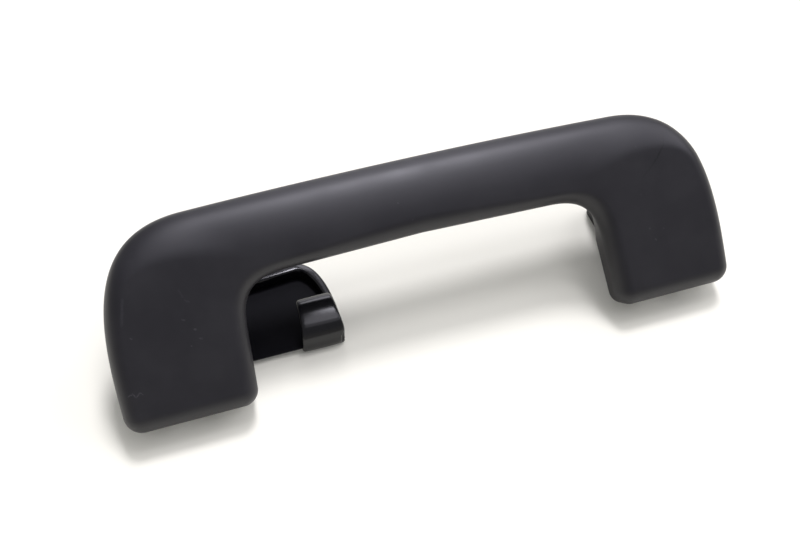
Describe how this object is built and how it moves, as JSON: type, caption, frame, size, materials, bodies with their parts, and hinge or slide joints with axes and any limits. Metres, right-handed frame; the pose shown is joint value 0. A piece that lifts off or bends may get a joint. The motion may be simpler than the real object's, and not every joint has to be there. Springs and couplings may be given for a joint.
{
  "type": "roof grab handle",
  "caption": "Folding roof grab handle with broad hollow legs, an oval grip bar, two screw-on brackets and a coat hook beside the left leg.",
  "frame": {"origin": "middle of the four screw holes, on the mounting plane of the brackets", "axes": "+X along the bar to the right, +Y from the hinge towards the bar, +Z out of the roof into the cabin"},
  "size_m": [0.2548, 0.0644, 0.0615],
  "materials": {
    "grip_plastic": "fine-grained satin charcoal",
    "bracket_plastic": "glass-filled black",
    "hook_plastic": "satin black",
    "pin_steel": "drawn and plated",
    "ring_steel": "spring steel",
    "bush_plastic": "natural acetal",
    "spring_steel": "spring wire",
    "damper_plastic": "smooth grey-black",
    "sleeve_steel": "zinc plated",
    "stop_rubber": "moulded rubber",
    "cover_plastic": "fine-grained satin charcoal"
  },
  "bodies": {
    "brackets": {"left_bracket": "bracket_plastic", "right_bracket": "bracket_plastic", "coat_hook": "hook_plastic", "left_hinge_pin": "pin_steel", "right_hinge_pin": "pin_steel", "left_pin_ring": "ring_steel", "right_pin_ring": "ring_steel", "return_spring": "spring_steel", "damper_rotor": "bush_plastic", "left_sleeves": "sleeve_steel", "right_sleeves": "sleeve_steel", "left_stop": "stop_rubber", "right_stop": "stop_rubber", "left_cover": "cover_plastic", "right_cover": "cover_plastic"},
    "grip_body": {"grip": "grip_plastic", "left_bushes": "bush_plastic", "right_bushes": "bush_plastic", "damper_housing": "damper_plastic"}
  },
  "joints": [
    {"name": "grip_fold", "type": "hinge", "parent": "brackets", "child": "grip_body", "pos_m": [0, -0.028, 0.014], "axis": [1, 0, 0], "range_deg": [0, 75], "stiffness_Nm_per_rad": 0.12, "springref_deg": -91.67}
  ]
}
